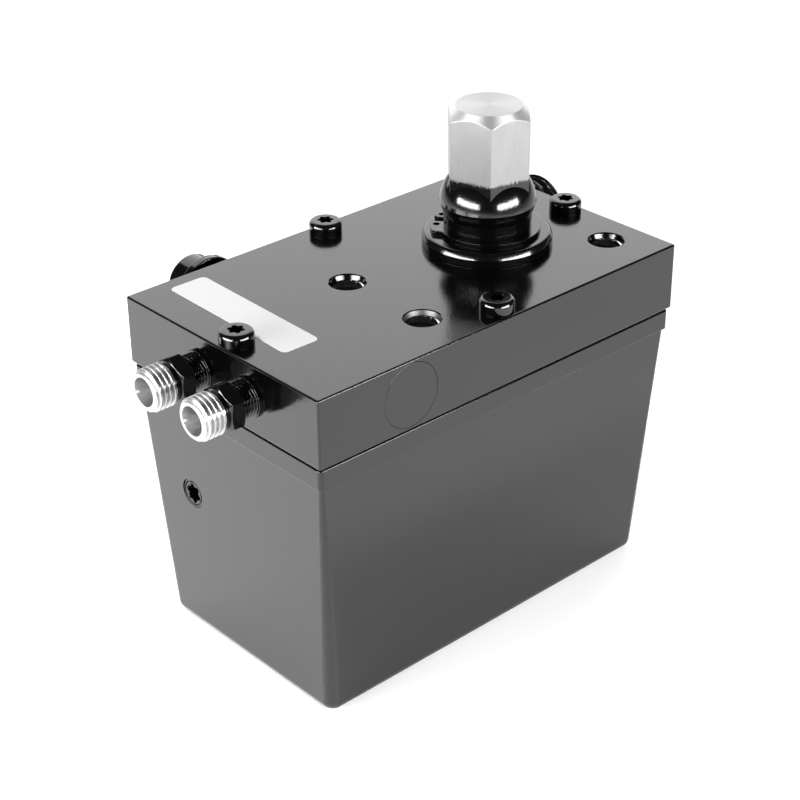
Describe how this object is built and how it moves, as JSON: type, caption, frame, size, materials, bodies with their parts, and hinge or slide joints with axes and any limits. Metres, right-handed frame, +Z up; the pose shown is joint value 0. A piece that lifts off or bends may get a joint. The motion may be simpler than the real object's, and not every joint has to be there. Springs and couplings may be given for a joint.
{
  "type": "hand pump with oil tank",
  "caption": "Hand-operated hydraulic pump: valve block with hexagon drive, hose couplings and direction valve, bolted on a tapered oil tank.",
  "frame": {"origin": "centre of the tank's flat base", "axes": "+X across the width towards the side with the flush plug, +Y along the length from the hose couplings to the filler cap, +Z up along the hexagon drive"},
  "size_m": [0.0936, 0.1595, 0.1439],
  "materials": {
    "gloss_black_paint": "gloss",
    "coupling_steel": "satin",
    "bare_steel": "brushed",
    "ground_steel": "ground",
    "zinc_steel": "zinc plated",
    "spring_steel": "satin",
    "bronze": "satin",
    "black_rubber": "matte",
    "gasket": "matte",
    "label_film": "satin"
  },
  "bodies": {
    "housing": {"valve_block": "gloss_black_paint", "tank": "gloss_black_paint", "cover_screws": "gloss_black_paint", "flanged_bush": "gloss_black_paint", "label_plate": "label_film", "level_plug": "gloss_black_paint", "coupling_left": "coupling_steel", "coupling_right": "coupling_steel", "spool_bore_plug": "gloss_black_paint", "pump_bore_plug": "gloss_black_paint", "lower_bush": "bronze", "locating_ball": "ground_steel", "plunger_spring": "spring_steel", "delivery_spring": "spring_steel", "relief_spring": "spring_steel", "suction_valve_body": "zinc_steel", "delivery_valve_body": "zinc_steel", "relief_valve_body": "zinc_steel", "relief_adjuster": "zinc_steel", "locating_screw": "zinc_steel", "suction_tube": "zinc_steel", "suction_strainer": "bronze", "bush_o_ring": "black_rubber", "pump_plug_o_ring": "black_rubber", "spool_plug_o_ring": "black_rubber", "coupling_seals": "black_rubber", "level_plug_seal": "black_rubber", "tank_gasket": "gasket"},
    "drive": {"hex_drive_shaft": "bare_steel", "circlip": "gloss_black_paint", "thrust_washer": "zinc_steel"},
    "roller": {"cam_roller": "ground_steel"},
    "plunger": {"pump_plunger": "ground_steel", "plunger_seal": "black_rubber"},
    "selector": {"valve_spool": "ground_steel", "spool_o_rings": "black_rubber", "valve_knob": "gloss_black_paint", "knob_screw": "zinc_steel"},
    "cap_ring": {"filler_cap_seal": "black_rubber"},
    "cap": {"filler_cap": "gloss_black_paint"},
    "inlet_ball": {"suction_ball": "ground_steel"},
    "outlet_ball": {"delivery_ball": "ground_steel"},
    "poppet": {"relief_poppet": "ground_steel"}
  },
  "joints": [
    {"name": "drive_turn", "type": "hinge", "parent": "housing", "child": "drive", "pos_m": [0.0017, 0.0293, 0.097], "axis": [0, 0, 1], "range_deg": [-35, 35]},
    {"name": "roller_spin", "type": "hinge", "parent": "drive", "child": "roller", "pos_m": [0.0017, 0.0333, 0.092], "axis": [0, 0, 1], "continuous": true},
    {"name": "plunger_stroke", "type": "slide", "parent": "housing", "child": "plunger", "axis": [-1, 0, 0], "range_m": [-0.0024, 0.0024]},
    {"name": "selector_turn", "type": "hinge", "parent": "housing", "child": "selector", "pos_m": [0, -0.0355, 0.092], "axis": [-1, 0, 0], "range_deg": [0, 90]},
    {"name": "cap_travel", "type": "slide", "parent": "housing", "child": "cap_ring", "axis": [0, 1, 0], "range_m": [0, 0.0045]},
    {"name": "cap_turn", "type": "hinge", "parent": "cap_ring", "child": "cap", "pos_m": [-0.0207, 0.07, 0.092], "axis": [0, -1, 0], "range_deg": [0, 1080]},
    {"name": "inlet_ball_lift", "type": "slide", "parent": "housing", "child": "inlet_ball", "axis": [0, 0, 1], "range_m": [0, 0.0015]},
    {"name": "outlet_ball_lift", "type": "slide", "parent": "housing", "child": "outlet_ball", "axis": [0, 0, 1], "range_m": [0, 0.0012], "stiffness_N_per_m": 150, "springref_m": -0.002, "deforming": ["delivery_spring"]},
    {"name": "poppet_lift", "type": "slide", "parent": "housing", "child": "poppet", "axis": [0, 0, -1], "range_m": [0, 0.001], "stiffness_N_per_m": 600, "springref_m": -0.002, "deforming": ["relief_spring"]}
  ],
  "couplings": [
    {"joint": "plunger_stroke", "follows": "drive_turn", "m_per_rad": 0.0037558},
    {"joint": "cap_turn", "follows": "cap_travel", "rad_per_m": 4188.8}
  ]
}
